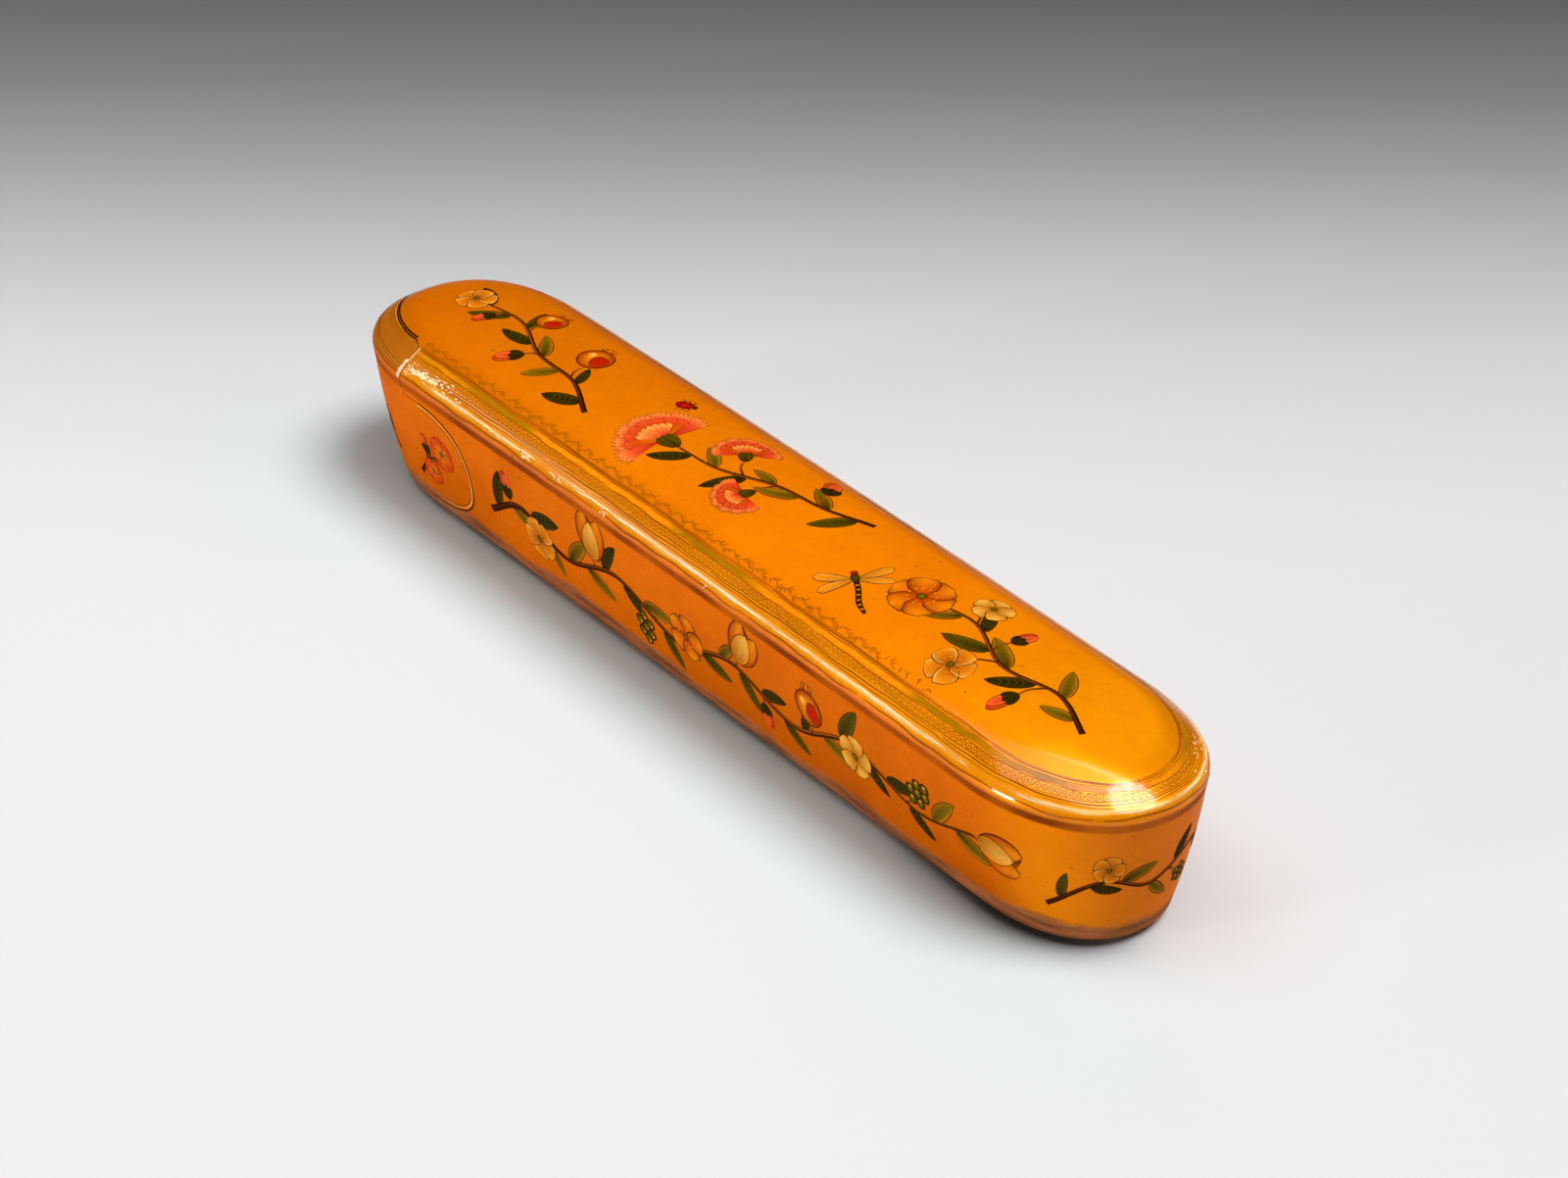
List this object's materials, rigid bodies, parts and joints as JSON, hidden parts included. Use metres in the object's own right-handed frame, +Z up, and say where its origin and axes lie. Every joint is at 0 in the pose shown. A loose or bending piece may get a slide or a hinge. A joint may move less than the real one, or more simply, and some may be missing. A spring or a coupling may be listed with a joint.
{
  "type": "pen box",
  "caption": "Long lacquered pen box with rounded ends and a crowned roof. A tray with a lidded inkwell slides out of one end, which locks in by a roof tongue and side tabs.",
  "frame": {"origin": "centre of the base, at the level the box stands on, drawer closed", "axes": "+X along the length towards the closed end, so the drawer pulls out towards -X; +Z up"},
  "size_m": [0.235, 0.0446, 0.0402],
  "materials": {
    "amber_lacquer": "papier-mache under glossy amber varnish, with gold borders and painted sprigs",
    "red_brown_lacquer": "papier-mache under satin red-brown lacquer",
    "brass": "worn sheet brass",
    "inked_silk": "raw silk floss soaked in black ink"
  },
  "bodies": {
    "case": {"case_sleeve": "amber_lacquer"},
    "drawer": {"drawer_end_cap": "amber_lacquer", "drawer_tray": "red_brown_lacquer", "tray_partition": "red_brown_lacquer", "inkwell_cup": "brass", "inkwell_plate": "brass", "inkwell_hinge_pin": "brass", "silk_wad": "inked_silk"},
    "lid": {"inkwell_lid": "brass"}
  },
  "joints": [
    {"name": "drawer_slide", "type": "slide", "parent": "case", "child": "drawer", "axis": [-1, 0, 0], "range_m": [0, 0.236]},
    {"name": "inkwell_lid_hinge", "type": "hinge", "parent": "drawer", "child": "lid", "pos_m": [-0.0859, 0, 0.0174], "axis": [0, 1, 0], "range_deg": [0, 105]}
  ]
}
